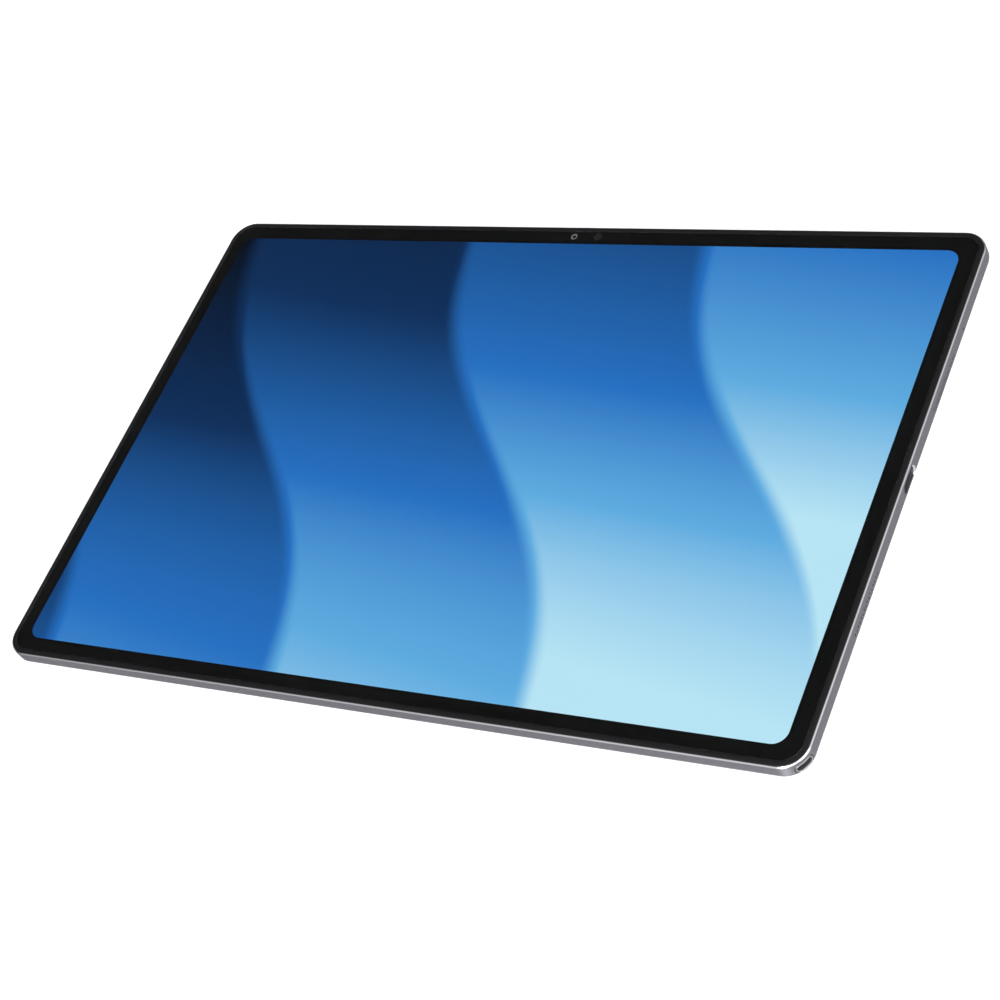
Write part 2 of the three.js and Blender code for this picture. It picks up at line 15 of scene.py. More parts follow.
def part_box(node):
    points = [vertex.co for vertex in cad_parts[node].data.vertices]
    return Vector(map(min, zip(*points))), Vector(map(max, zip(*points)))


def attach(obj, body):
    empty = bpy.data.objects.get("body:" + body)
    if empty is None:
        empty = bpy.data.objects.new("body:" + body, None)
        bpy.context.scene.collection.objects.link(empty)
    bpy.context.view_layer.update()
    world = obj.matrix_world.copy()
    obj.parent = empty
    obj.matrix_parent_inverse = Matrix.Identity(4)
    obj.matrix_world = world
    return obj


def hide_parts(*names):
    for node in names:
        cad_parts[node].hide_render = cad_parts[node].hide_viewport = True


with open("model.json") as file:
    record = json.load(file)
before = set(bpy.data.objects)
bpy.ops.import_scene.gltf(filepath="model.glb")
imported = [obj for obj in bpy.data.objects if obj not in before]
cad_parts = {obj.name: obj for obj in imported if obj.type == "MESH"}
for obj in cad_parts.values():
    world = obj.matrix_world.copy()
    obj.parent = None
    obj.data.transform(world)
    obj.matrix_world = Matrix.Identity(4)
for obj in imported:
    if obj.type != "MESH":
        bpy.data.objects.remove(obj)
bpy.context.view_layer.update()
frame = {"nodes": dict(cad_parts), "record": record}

# %% [markdown]
# ## Sizes
# The pieces are modelled in millimetres, because Blender's bevel rounds off badly on shapes of a tenth
# of a millimetre when they are a ten-thousandth of a unit. Each piece is shrunk to metres when it is
# finished. Sizes that the CAD model already holds are read from its boxes.

# %% Sizes in millimetres
MM = 0.001
DOUBLES_WITHIN = 0.0005


def box_mm(node):
    """The lowest and highest corner of a CAD node, in millimetres."""
    low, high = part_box(node)
    return low / MM, high / MM


SHELL_HIGH = box_mm("housing")[1]
HALF_LENGTH = SHELL_HIGH.x
HALF_WIDTH = SHELL_HIGH.y
RIM_TOP = SHELL_HIGH.z
CORNER_RADIUS = 9.0
BACK_WALL = 0.9
SIDE_WALL = 2.5
BACK_ROUND = 1.9
RIM_CHAMFER = 0.38
FRAME_LOW, FRAME_HIGH = box_mm("bezel_frame")
FRAME_INSET = HALF_LENGTH - FRAME_HIGH.x
GLASS_LOW, GLASS_HIGH = box_mm("cover_glass")
GLASS_INSET = HALF_LENGTH - GLASS_HIGH.x
SCREEN_HALF_LENGTH = 150.75
SCREEN_HALF_WIDTH = 94.2
SCREEN_RADIUS = 5.0
PORT_HEIGHT = 2.85
print("glass", GLASS_LOW, GLASS_HIGH)

# %% [markdown]
# ## Camera
# The tablet is seen from its right front corner, from above, with a short telephoto lens, so that the
# far side looks only a little smaller than the near one. The camera is placed as a photographer would
# say it: which point it aims at, from which side, how high, how far off, and how much it is tipped.

# %% Camera
CAMERA_SIDE = math.radians(-41.07)
CAMERA_HEIGHT = math.radians(43.76)
CAMERA_TIP = math.radians(-34.33)
CAMERA_DISTANCE = 0.807
CAMERA_AIM = Vector((0.008, 0.0056, RIM_TOP * MM))
camera_data = bpy.data.cameras.new("camera")
camera_data.sensor_width = 36
camera_data.lens = 84.69
camera_data.shift_y = -0.06
camera = bpy.data.objects.new("camera", camera_data)
bpy.context.scene.collection.objects.link(camera)
level = math.cos(CAMERA_HEIGHT)
view_back = Vector(
    (level * math.cos(CAMERA_SIDE), level * math.sin(CAMERA_SIDE), math.sin(CAMERA_HEIGHT))
)
look_from = CAMERA_AIM + view_back * CAMERA_DISTANCE
upright = view_back.to_track_quat("Z", "Y").to_matrix()
turn = upright @ Matrix.Rotation(CAMERA_TIP, 3, "Z")
camera.matrix_world = Matrix.Translation(look_from) @ turn.to_4x4()
bpy.context.scene.camera = camera
print("camera at", look_from)

# %% [markdown]
# ## Studio
# A wide pale floor and soft light, as for a catalogue. The surroundings are bright behind the camera,
# so that the polished edge round the screen shines, and dark on the far side, which the glass mirrors.
# The colours of the lit screen have to come out as they are set, so the view is the standard one.

# %% Floor, surroundings and lamps
scene = bpy.context.scene
scene.view_settings.view_transform = "Standard"
scene.view_settings.look = "None"

bpy.ops.object.select_all(action="DESELECT")
bpy.ops.mesh.primitive_plane_add(size=30, location=(0, 0, -0.0002))
floor = bpy.context.object
floor.name = "studio_floor"
floor_finish = bpy.data.materials.new("studio_floor")
floor_finish.use_nodes = True
floor_shader = floor_finish.node_tree.nodes["Principled BSDF"]
floor_shader.inputs["Base Color"].default_value = (0.9, 0.9, 0.9, 1)
floor_shader.inputs["Roughness"].default_value = 0.9
floor_shader.inputs["Specular IOR Level"].default_value = 0.1
floor_shader.inputs["Emission Color"].default_value = (1, 1, 1, 1)
floor_shader.inputs["Emission Strength"].default_value = 0.4
floor.data.materials.append(floor_finish)

world = bpy.data.worlds.new("studio")
scene.world = world
world.use_nodes = True
sky = world.node_tree
sky_direction = sky.nodes.new("ShaderNodeTexCoord")
towards_front = sky.nodes.new("ShaderNodeVectorMath")
towards_front.operation = "DOT_PRODUCT"
towards_front.inputs[1].default_value = (0.38, -0.32, 0)
sky.links.new(sky_direction.outputs["Generated"], towards_front.inputs[0])
raised = sky.nodes.new("ShaderNodeMath")
raised.inputs[1].default_value = 0.5
sky.links.new(towards_front.outputs["Value"], raised.inputs[0])
sky_ramp = sky.nodes.new("ShaderNodeValToRGB")
sky_ramp.color_ramp.elements[0].position = 0.28
sky_ramp.color_ramp.elements[0].color = (0.02, 0.02, 0.021, 1)
sky_ramp.color_ramp.elements[1].position = 0.50
sky_ramp.color_ramp.elements[1].color = (0.55, 0.55, 0.56, 1)
brightest = sky_ramp.color_ramp.elements.new(0.85)
brightest.color = (1, 1, 1, 1)
sky.links.new(raised.outputs[0], sky_ramp.inputs[0])
sky.links.new(sky_ramp.outputs[0], sky.nodes["Background"].inputs["Color"])
sky.nodes["Background"].inputs["Strength"].default_value = 1.7


def add_softbox(name, place, size, power):
    """A square area lamp that looks at the middle of the tablet."""
    lamp_data = bpy.data.lights.new(name, "AREA")
    lamp_data.size = size
    lamp_data.energy = power
    lamp = bpy.data.objects.new(name, lamp_data)
    lamp.location = place
    lamp.rotation_euler = (-Vector(place)).to_track_quat("-Z", "Y").to_euler()
    scene.collection.objects.link(lamp)
    print(name, "at", place)
    return lamp


add_softbox("softbox_right", (2.1, -0.35, 1.3), 1.8, 22)
add_softbox("softbox_front", (0.5, -1.5, 1.7), 1.8, 12)
edge_light = add_softbox("softbox_edge", (0.2, -1.3, 0.55), 0.35, 16)
edge_light.visible_diffuse = False

# %% [markdown]
# ## Modelling tools
# A few small tools repeat what a hand does in the viewport: drop a block, pick edges by where they
# lie, bevel them, cut one shape with another. Every tool first clears the selection, because Blender's
# operators act on all that is selected.

# %% Blocks and selections


def add_block(name, low, high):
    """A box between two corners, in millimetres."""
    bpy.ops.object.select_all(action="DESELECT")
    middle = [(a + b) / 2 for a, b in zip(low, high)]
    bpy.ops.mesh.primitive_cube_add(size=1, location=middle)
    block = bpy.context.object
    block.name = name
    block.scale = [b - a for a, b in zip(low, high)]
    bpy.ops.object.transform_apply(location=True, rotation=True, scale=True)
    return block


def add_rod(name, centre, radius, low, high, sides=48):
    """An upright rod between two heights, in millimetres."""
    bpy.ops.object.select_all(action="DESELECT")
    place = (centre[0], centre[1], (low + high) / 2)
    bpy.ops.mesh.primitive_cylinder_add(vertices=sides, radius=radius, depth=high - low, location=place)
    rod = bpy.context.object
    rod.name = name
    bpy.ops.object.transform_apply(location=True, rotation=True, scale=True)
    return rod


def edit(piece):
    """Opens a piece for editing, with nothing else selected."""
    bpy.ops.object.select_all(action="DESELECT")
    piece.select_set(True)
    bpy.context.view_layer.objects.active = piece
    bpy.ops.object.mode_set(mode="EDIT")


def pick_edges(piece, test):
    """Selects the edges whose two ends pass a test. The piece is open for editing."""
    bpy.ops.mesh.select_mode(type="EDGE")
    bpy.ops.mesh.select_all(action="DESELECT")
    mesh = bmesh.from_edit_mesh(piece.data)
    for edge in mesh.edges:
        edge.select_set(bool(test(edge.verts[0].co, edge.verts[1].co)))
    bmesh.update_edit_mesh(piece.data)


def pick_faces(piece, test):
    """Selects the faces whose middle and normal pass a test. The piece is open for editing."""
    bpy.ops.mesh.select_mode(type="FACE")
    bpy.ops.mesh.select_all(action="DESELECT")
    mesh = bmesh.from_edit_mesh(piece.data)
    for face in mesh.faces:
        face.select_set(bool(test(face.calc_center_median(), face.normal)))
    bmesh.update_edit_mesh(piece.data)


def bevel_edges(piece, test, width, segments):
    """Rounds or chamfers the edges that pass a test."""
    edit(piece)
    pick_edges(piece, test)
    bpy.ops.mesh.bevel(offset=width, segments=segments, affect="EDGES", clamp_overlap=False)
    bpy.ops.mesh.select_all(action="SELECT")
    bpy.ops.mesh.remove_doubles(threshold=DOUBLES_WITHIN)
    bpy.ops.object.mode_set(mode="OBJECT")


print("blocks and rods can be added, and edges and faces picked")

# %% [markdown]
# ## Slabs
# Most of a tablet is slabs with round corners. A slab starts as a block, its four upright edges are
# bevelled into round corners, and its top or bottom rim is softened with a second, smaller bevel.

# %% Slabs with round corners
CORNER_SEGMENTS = 32


def at_height(height):
    """A test for edges that lie flat at one height."""
    return lambda a, b: abs(a.z - height) < 0.002 and abs(b.z - height) < 0.002


def add_slab(
    name, half_x, half_y, low, high, radius, top=0, bottom=0, segments=CORNER_SEGMENTS, soft=3
):
    """A slab with round corners about the origin. top and bottom are the widths of its soft rims."""
    slab = add_block(name, (-half_x, -half_y, low), (half_x, half_y, high))
    bevel_edges(slab, lambda a, b: abs(a.z - b.z) > 0.01, radius, segments)
    if top:
        bevel_edges(slab, at_height(high), top, soft)
    if bottom:
        bevel_edges(slab, at_height(low), bottom, soft)
    return slab


def add_body_slab(name, inset, low, high, **rims):
    """A slab that keeps one distance from the tablet's outline."""
    half_x = HALF_LENGTH - inset
    half_y = HALF_WIDTH - inset
    return add_slab(name, half_x, half_y, low, high, CORNER_RADIUS - inset, **rims)


print("round corners have", CORNER_SEGMENTS, "segments")

# %% [markdown]
# ## Cutting and joining
# Holes are cut with a boolean modifier, which is applied at once so that the piece is plain mesh
# again. The cutter is removed afterwards.

# %% Cutting, joining and turning


def combine(piece, others, operation):
    """Cuts a piece with other pieces, or joins or meets them, and removes the others."""
    for other in others:
        bpy.ops.object.select_all(action="DESELECT")
        piece.select_set(True)
        bpy.context.view_layer.objects.active = piece
        modifier = piece.modifiers.new(operation.lower(), "BOOLEAN")
        modifier.operation = operation
        modifier.object = other
        modifier.solver = "EXACT"
        bpy.ops.object.modifier_apply(modifier=modifier.name)
        bpy.data.meshes.remove(other.data)
    return piece


def cut(piece, *cutters):
    return combine(piece, cutters, "DIFFERENCE")


def unite(piece, *others):
    return combine(piece, others, "UNION")


def group(pieces):
    """Several separate shapes as one object, such as a row of drills."""
    bpy.ops.object.select_all(action="DESELECT")
    for piece in pieces:
        piece.select_set(True)
    bpy.context.view_layer.objects.active = pieces[0]
    bpy.ops.object.join()
    return pieces[0]


def face_out(piece, out, place):
    """Moves a piece modelled about the origin, with its front up, onto a side that faces out."""
    out = Vector((out[0], out[1], 0)).normalized()
    up = Vector((0, 0, 1))
    basis = Matrix((up.cross(out), up, out)).transposed().to_4x4()
    piece.data.transform(Matrix.Translation(Vector(place)) @ basis)
    return piece


print("modelling tools ready")

# %% [markdown]
# ## Finishes as arithmetic
# A finish is a small network of nodes. The class below lets a number that varies over the surface be
# written like ordinary arithmetic, and every sum becomes a Math node. Places are measured in
# millimetres from the piece's own Object coordinates, which here are the tablet's.

# %% Fields


class Field:
    """A number that varies over a surface: a socket that can be added, multiplied and compared."""

    def __init__(self, tree, socket):
        self.tree = tree
        self.socket = socket

    def reckon(self, operation, *others, clamp=False):
        node = self.tree.nodes.new("ShaderNodeMath")
        node.operation = operation
        node.use_clamp = clamp
        for place, value in enumerate((self, *others)):
            if isinstance(value, Field):
                self.tree.links.new(value.socket, node.inputs[place])
            else:
                node.inputs[place].default_value = value
        return Field(self.tree, node.outputs[0])

    def __add__(self, other):
        return self.reckon("ADD", other)

    def __sub__(self, other):
        return self.reckon("SUBTRACT", other)

    def __mul__(self, other):
        return self.reckon("MULTIPLY", other)

    def __truediv__(self, other):
        return self.reckon("DIVIDE", other)

    def __neg__(self):
        return self.reckon("MULTIPLY", -1)

    __radd__ = __add__
    __rmul__ = __mul__

    def __rsub__(self, other):
        return (-self).reckon("ADD", other)

    def clamped(self):
        return self.reckon("ADD", 0, clamp=True)

    def smooth(self):
        """Eases from 0 to 1."""
        x = self.clamped()
        return x * x * (3 - 2 * x)

    def to(self, other, share):
        """This where share is 0, other where it is 1."""
        return self + (other - self) * share


print("fields can be added, multiplied and compared")

# %% [markdown]
# ## A finish
# A finish holds one material and its Principled shader. Its tools add grain: a noise of a given grain
# size, a tint of the base colour, a change of roughness and a fine relief. A uniform value is set on
# the shader's own socket.

# %% Finish


class Finish:
    """A material with its Principled shader and a few short ways to add nodes."""

    def __init__(self, name, colour=(0.5, 0.5, 0.5), roughness=0.5, metallic=0.0, **values):
        self.material = bpy.data.materials.new(name)
        self.material.use_nodes = True
        self.tree = self.material.node_tree
        self.shader = self.tree.nodes["Principled BSDF"]
        self.colour = colour
        self.shader.inputs["Base Color"].default_value = (*colour, 1)
        self.shader.inputs["Roughness"].default_value = roughness
        self.shader.inputs["Metallic"].default_value = metallic
        for socket, value in values.items():
            self.shader.inputs[socket.replace("_", " ")].default_value = value
        self.place = self.tree.nodes.new("ShaderNodeTexCoord").outputs["Object"]

    def axes(self):
        """x, y and z in millimetres."""
        split = self.tree.nodes.new("ShaderNodeSeparateXYZ")
        self.tree.links.new(self.place, split.inputs[0])
        return [Field(self.tree, split.outputs[i]) * 1000 for i in range(3)]

    def noise(self, size_mm, detail=2.0, roughness=0.5, stretch=(1, 1, 1)):
        """Soft noise from 0 to 1 with grains of one size, longer along the axes where stretch is more."""
        mapping = self.tree.nodes.new("ShaderNodeMapping")
        mapping.inputs["Scale"].default_value = [1 / (size_mm * MM * s) for s in stretch]
        self.tree.links.new(self.place, mapping.inputs["Vector"])
        noise = self.tree.nodes.new("ShaderNodeTexNoise")
        noise.inputs["Scale"].default_value = 1
        noise.inputs["Detail"].default_value = detail
        noise.inputs["Roughness"].default_value = roughness
        self.tree.links.new(mapping.outputs[0], noise.inputs["Vector"])
        return Field(self.tree, noise.outputs["Fac"])

    def link(self, field, socket):
        self.tree.links.new(field.socket, self.shader.inputs[socket])

    def ramp(self, field, stops):
        """Colours along a field: stops are (position, (r, g, b)) in linear light."""
        node = self.tree.nodes.new("ShaderNodeValToRGB")
        points = node.color_ramp.elements
        while len(points) < len(stops):
            points.new(1)
        for point, (position, colour) in zip(points, stops):
            point.position = position
            point.color = (*colour, 1)
        self.tree.links.new(field.socket, node.inputs[0])
        return node.outputs[0]

    def mix(self, first, second, share):
        """One colour turning into another as the share goes from 0 to 1."""
        node = self.tree.nodes.new("ShaderNodeMix")
        node.data_type = "RGBA"
        for place, value in (("A_Color", first), ("B_Color", second)):
            socket = next(s for s in node.inputs if s.identifier == place)
            if isinstance(value, tuple):
                socket.default_value = (*value, 1)
            else:
                self.tree.links.new(value, socket)
        share_socket = next(s for s in node.inputs if s.identifier == "Factor_Float")
        self.tree.links.new(share.socket, share_socket)
        return next(s for s in node.outputs if s.identifier == "Result_Color")

    def tint(self, field, low, high):
        """The base colour from low times itself to high times itself as the field goes from 0 to 1."""
        dark = tuple(c * low for c in self.colour)
        light = tuple(c * high for c in self.colour)
        self.tree.links.new(self.ramp(field, [(0, dark), (1, light)]), self.shader.inputs["Base Color"])

    def roughen(self, field, low, high):
        self.link(low + (high - low) * field, "Roughness")

    def bump(self, field, height_mm, strength=1.0):
        """Raises the surface where the field is high."""
        node = self.tree.nodes.new("ShaderNodeBump")
        node.inputs["Strength"].default_value = strength
        node.inputs["Distance"].default_value = height_mm * MM
        self.tree.links.new(field.socket, node.inputs["Height"])
        self.tree.links.new(node.outputs[0], self.shader.inputs["Normal"])


print("a finish can be tinted, roughened and given a relief")

# %% [markdown]
# ## Metal
# The housing is milled from aluminium, blasted with fine beads and anodised in a cool grey. Up close
# it has a very fine grain, and its shine varies a little where hands hold it. The edge round the
# screen is cut again after anodising, so it is bright and shows fine turning lines along it.

# %% Housing metals
satin = Finish("satin_aluminium", (0.168, 0.165, 0.185), 0.4, 1.0)
satin_grain = satin.noise(0.12, 3)
satin_cloud = satin.noise(30, 2)
satin.tint(satin_cloud * 0.6 + satin_grain * 0.4, 0.92, 1.08)
satin.roughen(satin_cloud, 0.34, 0.46)
satin.bump(satin_grain, 0.006, 0.35)

# The sides are blasted along their length, which spreads highlights up and down.
satin_side = Finish(
    "satin_aluminium_side", (0.158, 0.156, 0.173), 0.5, 1.0, Anisotropic=0.9, Anisotropic_Rotation=0.25
)
side_grain = satin_side.noise(0.12, 3)
side_cloud = satin_side.noise(30, 2)
satin_side.tint(side_cloud * 0.6 + side_grain * 0.4, 0.92, 1.08)
satin_side.roughen(side_cloud, 0.46, 0.54)
satin_side.bump(side_grain, 0.006, 0.3)

bright = Finish("cut_aluminium", (0.46, 0.46, 0.475), 0.2, 1.0)
bright_lines = bright.noise(0.05, 2)
bright.tint(bright.noise(8, 2), 0.94, 1.04)
bright.roughen(bright_lines, 0.16, 0.26)
bright.bump(bright_lines, 0.002, 0.15)

key_metal = Finish("key_aluminium", (0.24, 0.24, 0.255), 0.3, 1.0)
key_grain = key_metal.noise(0.08, 2)
key_metal.tint(key_grain, 0.92, 1.05)
key_metal.roughen(key_grain, 0.26, 0.36)
key_metal.bump(key_grain, 0.002, 0.2)

steel = Finish("sheet_steel", (0.56, 0.57, 0.58), 0.3, 1.0)
steel_brush = steel.noise(0.25, 3, stretch=(12, 1, 1))
steel.tint(steel_brush, 0.85, 1.1)
steel.roughen(steel_brush, 0.24, 0.42)
steel.bump(steel_brush, 0.003, 0.2)

screw_steel = Finish("screw_steel", (0.42, 0.42, 0.44), 0.3, 1.0)
screw_grain = screw_steel.noise(0.1, 2)
screw_steel.tint(screw_grain, 0.8, 1.15)
screw_steel.roughen(screw_grain, 0.22, 0.4)

gold = Finish("gold_contact", (0.83, 0.58, 0.22), 0.25, 1.0)
gold_grain = gold.noise(0.06, 2)
gold.tint(gold_grain, 0.88, 1.08)
gold.roughen(gold_grain, 0.2, 0.35)

brass_film = Finish("antenna_metal", (0.62, 0.40, 0.16), 0.35, 1.0)
brass_grain = brass_film.noise(0.4, 3)
brass_film.tint(brass_grain, 0.85, 1.1)
brass_film.roughen(brass_grain, 0.28, 0.45)
print("metals made")

# %% [markdown]
# ## Plastics, glass and papers
# The frame round the glass is a fine matte black plastic. The glass carries a coating against
# reflections, so it mirrors less than plain glass does, which its low index of refraction stands for.
# The black border is ink printed on the underside of the glass.

# %% Plastics and glass
frame_plastic = Finish("frame_plastic", (0.010, 0.010, 0.011), 0.5, Specular_IOR_Level=0.3)
plastic_grain = frame_plastic.noise(0.15, 3)
frame_plastic.tint(plastic_grain, 0.85, 1.15)
frame_plastic.roughen(plastic_grain, 0.36, 0.5)
frame_plastic.bump(plastic_grain, 0.004, 0.3)

moulded = Finish("moulded_black", (0.016, 0.016, 0.018), 0.5)
moulded_grain = moulded.noise(0.3, 3)
moulded.tint(moulded_grain, 0.8, 1.25)
moulded.roughen(moulded_grain, 0.42, 0.6)
moulded.bump(moulded_grain, 0.01, 0.4)

glass = Finish("coated_glass", (1, 1, 1), 0.0, 0.0, Transmission_Weight=1.0, IOR=1.28)
glass_smear = glass.noise(40, 3)
glass.tint(glass_smear, 0.985, 1.0)

ink = Finish("border_ink", (0.003, 0.003, 0.003), 0.6, Specular_IOR_Level=0.15)
ink_grain = ink.noise(0.2, 2)
ink.tint(ink_grain, 0.8, 1.2)
ink.roughen(ink_grain, 0.45, 0.55)

adhesive = Finish("clear_adhesive", (0.99, 0.995, 1), 0.0, 0.0, Transmission_Weight=1.0, IOR=1.01)
adhesive_wave = adhesive.noise(25, 2)
adhesive.tint(adhesive_wave, 0.99, 1.0)

black_glass = Finish("black_glass", (0.005, 0.005, 0.006), 0.1, 0.0, Specular_IOR_Level=0.12)
black_smear = black_glass.noise(1.2, 3)
black_glass.tint(black_smear, 0.7, 1.4)
black_glass.roughen(black_smear, 0.04, 0.1)

clear_plastic = Finish("clear_plastic", (0.80, 0.86, 0.88), 0.12, 0.0, Coat_Weight=0.4)
clear_dots = clear_plastic.noise(0.9, 1)
clear_plastic.tint(clear_dots, 0.94, 1.04)
clear_plastic.roughen(clear_dots, 0.08, 0.2)
clear_plastic.bump(clear_dots, 0.004, 0.2)

white_film = Finish("white_film", (0.86, 0.86, 0.84), 0.5)
white_grain = white_film.noise(0.5, 3)
white_film.tint(white_grain, 0.95, 1.04)
white_film.roughen(white_grain, 0.42, 0.6)

mesh_cloth = Finish("speaker_cloth", (0.010, 0.010, 0.011), 0.7)
cloth_weave = mesh_cloth.noise(0.08, 0)
mesh_cloth.tint(cloth_weave, 0.3, 2.2)
mesh_cloth.bump(cloth_weave, 0.03, 0.6)

lens_coating = Finish(
    "lens_coating", (0.010, 0.012, 0.030), 0.02, 0.0, Coat_Weight=1.0, Coat_Roughness=0.01
)
lens_glint = lens_coating.noise(0.8, 2)
lens_coating.tint(lens_glint, 0.6, 1.8)

ring_paint = Finish("camera_ring_grey", (0.32, 0.33, 0.34), 0.4)
ring_grain = ring_paint.noise(0.08, 2)
ring_paint.tint(ring_grain, 0.85, 1.15)

sensor_glass = Finish("sensor_tint", (0.013, 0.013, 0.016), 0.3)
sensor_grain = sensor_glass.noise(0.3, 2)
sensor_glass.tint(sensor_grain, 0.85, 1.2)
print("plastics and glass made")

# %% [markdown]
# ## Finishes of the inside
# Nobody sees them until the glass comes off, but the boards, cells and cables have their own looks:
# green solder mask with copper tracks under it, amber film with printed lines, dark foil with a fine
# crinkle, and woven graphite.

# %% Finishes of the inside
board_green = Finish("solder_mask", (0.012, 0.075, 0.042), 0.35, 0.0, Coat_Weight=0.3)
board_x, board_y = board_green.axes()[:2]
track_x = (board_x * 3.1).reckon("SINE").reckon("GREATER_THAN", 0.62)
track_y = (board_y * 2.7).reckon("SINE").reckon("GREATER_THAN", 0.66)
patches = board_green.noise(7, 1).reckon("GREATER_THAN", 0.5)
tracks = track_x.to(track_y, patches)
track_colour = board_green.mix((0.010, 0.062, 0.034), (0.030, 0.135, 0.070), tracks)
board_green.tree.links.new(track_colour, board_green.shader.inputs["Base Color"])
board_green.roughen(board_green.noise(0.5, 2), 0.28, 0.42)
board_green.bump(tracks, 0.02, 0.4)

amber_film = Finish("flat_cable_film", (0.42, 0.17, 0.035), 0.35, 0.0, Coat_Weight=0.3)
amber_x = amber_film.axes()[0]
wires = (amber_x * 5.2).reckon("SINE").reckon("GREATER_THAN", 0.1)
wire_colour = amber_film.mix((0.40, 0.17, 0.04), (0.62, 0.30, 0.09), wires)
amber_film.tree.links.new(wire_colour, amber_film.shader.inputs["Base Color"])
amber_film.roughen(amber_film.noise(1.5, 2), 0.28, 0.42)
amber_film.bump(wires, 0.01, 0.3)

foil = Finish("battery_foil", (0.045, 0.046, 0.050), 0.42, 0.35)
foil_crinkle = foil.noise(3.5, 4, 0.6)
foil.tint(foil_crinkle, 0.8, 1.25)
foil.roughen(foil_crinkle, 0.34, 0.52)
foil.bump(foil_crinkle, 0.12, 0.35)

graphite = Finish("graphite_sheet", (0.035, 0.036, 0.040), 0.4, 0.4)
graphite_grain = graphite.noise(0.7, 3, stretch=(4, 1, 1))
graphite.tint(graphite_grain, 0.7, 1.35)
graphite.roughen(graphite_grain, 0.3, 0.5)
graphite.bump(graphite_grain, 0.01, 0.3)

led_yellow = Finish("led_phosphor", (0.82, 0.66, 0.18), 0.4)
led_x = led_yellow.axes()[0]
chips = (led_x * 1.05).reckon("SINE").reckon("GREATER_THAN", 0.0)
chip_colour = led_yellow.mix((0.80, 0.80, 0.76), (0.90, 0.66, 0.12), chips)
led_yellow.tree.links.new(chip_colour, led_yellow.shader.inputs["Base Color"])
led_yellow.roughen(led_yellow.noise(0.3, 2), 0.3, 0.5)

flash_lens = Finish("flash_lens", (0.86, 0.80, 0.58), 0.2, 0.0, Coat_Weight=0.6)
flash_speckle = flash_lens.noise(0.25, 2)
flash_lens.tint(flash_speckle, 0.85, 1.08)
flash_lens.roughen(flash_speckle, 0.12, 0.3)
print("inside finishes made")

# %% [markdown]
# ## The lit screen
# The real panel is a light box behind a colour filter, so it shines by itself. The picture here is a
# plain one made up for this lesson: it fades from night blue in one corner to sky blue in the other,
# with three soft folds across it, like light on cloth. It is drawn with formulas alone and sized from
# the screen, and it goes to the shader's emission.

# %% Screen picture
SKY_BLUES = [
    (0.0, (0.001, 0.004, 0.010)),
    (0.3, (0.004, 0.030, 0.110)),
    (0.6, (0.020, 0.170, 0.560)),
    (0.8, (0.120, 0.430, 0.780)),
    (1.0, (0.500, 0.820, 0.950)),
]
FOLDS = 3
FOLD_LEAN = 0.35
FOLD_WAVE = 0.035
FOLD_DEPTH = 0.24
FOLD_EDGE = 0.10

screen = Finish("lit_screen", (0.002, 0.002, 0.002), 0.6, Specular_IOR_Level=0.0)
x, y = screen.axes()[:2]
from_left = (x + SCREEN_HALF_LENGTH) / (2 * SCREEN_HALF_LENGTH)
from_top = (SCREEN_HALF_WIDTH - y) / (2 * SCREEN_HALF_WIDTH)
fade = (from_left * 0.6 + from_top * 0.4).clamped()

# Each fold is lit on its left and falls softly into shade, until the next one starts.
fold_bend = (from_top * math.tau).reckon("SINE") * FOLD_WAVE
fold_place = (from_left - from_top * FOLD_LEAN + fold_bend + 1) * FOLDS
along_fold = fold_place.reckon("FRACT")
fold_light = (along_fold / FOLD_EDGE).smooth() * (1 - along_fold) * FOLD_DEPTH
tone = fade + fold_light
screen.tree.links.new(screen.ramp(tone.clamped(), SKY_BLUES), screen.shader.inputs["Emission Color"])
screen.shader.inputs["Emission Strength"].default_value = 1.0
print("screen picture has", len(screen.tree.nodes), "nodes")

# %% [markdown]
# ## Finishing a piece
# A finished piece is shrunk to metres, its curved faces are shaded smooth up to an angle, and it gets
# its finish, the CAD body it moves with, and the CAD nodes it stands for.

# %% Finishing
SMOOTH_ANGLE = math.radians(32)


def finish_piece(piece, body, slot, *finishes, replaces=()):
    bpy.ops.object.select_all(action="DESELECT")
    piece.select_set(True)
    bpy.context.view_layer.objects.active = piece
    bpy.ops.object.mode_set(mode="EDIT")
    bpy.ops.mesh.select_all(action="SELECT")
    bpy.ops.mesh.remove_doubles(threshold=DOUBLES_WITHIN)
    bpy.ops.mesh.normals_make_consistent(inside=False)
    bpy.ops.object.mode_set(mode="OBJECT")
    piece.scale = (MM, MM, MM)
    bpy.ops.object.transform_apply(location=True, rotation=True, scale=True)
    bpy.ops.object.shade_smooth_by_angle(angle=SMOOTH_ANGLE)
    if not piece.data.materials:
        for finish in finishes:
            piece.data.materials.append(finish.material)
    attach(piece, body)
    if replaces:
        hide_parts(*replaces)
    print(piece.name, "has", len(piece.data.polygons), "faces")


def give_finishes(piece, *pairs):
    """Gives each face the first finish whose test its middle and normal pass."""
    piece.data.materials.clear()
    for finish, test in pairs:
        piece.data.materials.append(finish.material)
    for face in piece.data.polygons:
        passed = [number for number, pair in enumerate(pairs) if pair[1](face.center, face.normal)]
        face.material_index = passed[0]


BODY = "tablet_body"

# %% [markdown]
# ## Housing
# The real one is milled from one plate. Here a block gets its four round corners, a round back edge
# and a bright chamfer round the front, then two steps are pressed into its front: a shallow one for
# the plastic frame and a deep one for everything inside.

# %% Housing shell
LEDGE_TOP = FRAME_LOW.z
RIM_WALL = 0.55
housing = add_body_slab("housing_shell", 0, 0, RIM_TOP, segments=48)
bevel_edges(housing, at_height(0), BACK_ROUND, 10)
bevel_edges(housing, at_height(RIM_TOP), RIM_CHAMFER, 1)

